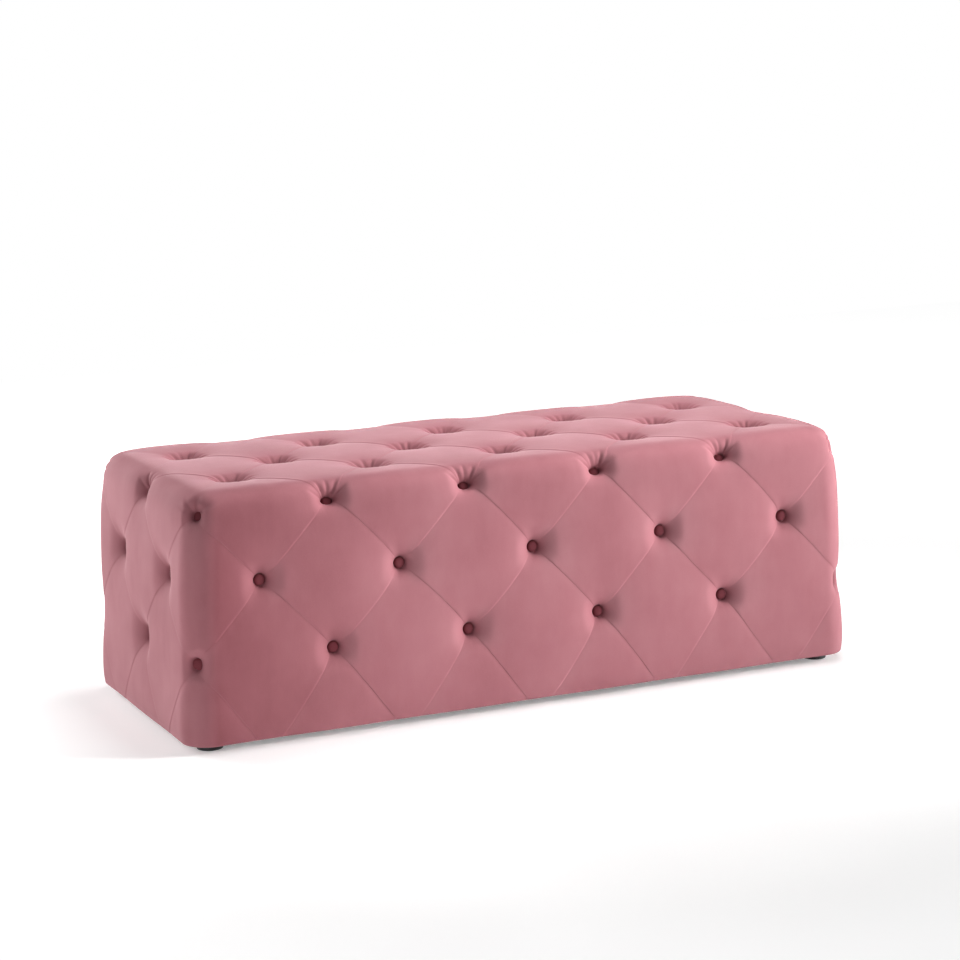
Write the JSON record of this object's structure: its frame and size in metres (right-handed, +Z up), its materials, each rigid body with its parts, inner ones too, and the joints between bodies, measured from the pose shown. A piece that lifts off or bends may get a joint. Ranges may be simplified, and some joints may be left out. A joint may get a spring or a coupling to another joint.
{
  "type": "tufted bench",
  "caption": "Long low upholstered entryway bench: a velvet box with button-tufted diamond puffs over the top and all four sides, on low round feet.",
  "frame": {"origin": "on the floor under the middle of the bench", "axes": "+X along the bench to the right end, the front looks to -Y, +Z up"},
  "size_m": [1.1988, 0.5, 0.41],
  "materials": {
    "velvet": "short-pile velvet, dusty rose",
    "foam": "open-cell upholstery foam, cream",
    "plywood": "unfinished plywood",
    "pine": "sawn pine",
    "steel": "zinc-plated steel",
    "black_plastic": "matt black moulded plastic",
    "twine": "waxed nylon twine",
    "washer_plastic": "natural moulded plastic",
    "dust_cloth": "black non-woven cloth"
  },
  "bodies": {
    "root": {"back_bottom_rail": "pine", "back_buttons": "velvet", "back_foam": "foam", "back_left_foot": "black_plastic", "back_left_post": "pine", "back_left_stud": "pine", "back_panel": "plywood", "back_right_foot": "black_plastic", "back_right_post": "pine", "back_right_stud": "pine", "back_top_rail": "pine", "cloth_tacks": "steel", "deck_panel": "plywood", "deck_screws": "steel", "dust_cover": "dust_cloth", "edge_button_nails": "steel", "edge_buttons": "velvet", "foot_screws": "steel", "front_bottom_rail": "pine", "front_buttons": "velvet", "front_foam": "foam", "front_left_foot": "black_plastic", "front_left_post": "pine", "front_left_stud": "pine", "front_panel": "plywood", "front_right_foot": "black_plastic", "front_right_post": "pine", "front_right_stud": "pine", "front_top_rail": "pine", "left_bottom_rail": "pine", "left_bottom_stretcher": "pine", "left_deck_bearer": "pine", "left_end_buttons": "velvet", "left_end_foam": "foam", "left_end_panel": "plywood", "left_top_rail": "pine", "panel_screws": "steel", "right_bottom_rail": "pine", "right_bottom_stretcher": "pine", "right_deck_bearer": "pine", "right_end_buttons": "velvet", "right_end_foam": "foam", "right_end_panel": "plywood", "right_top_rail": "pine", "top_buttons": "velvet", "top_foam": "foam", "tuft_ties": "twine", "tuft_washers": "washer_plastic", "tufted_cover": "velvet"}
  },
  "joints": []
}
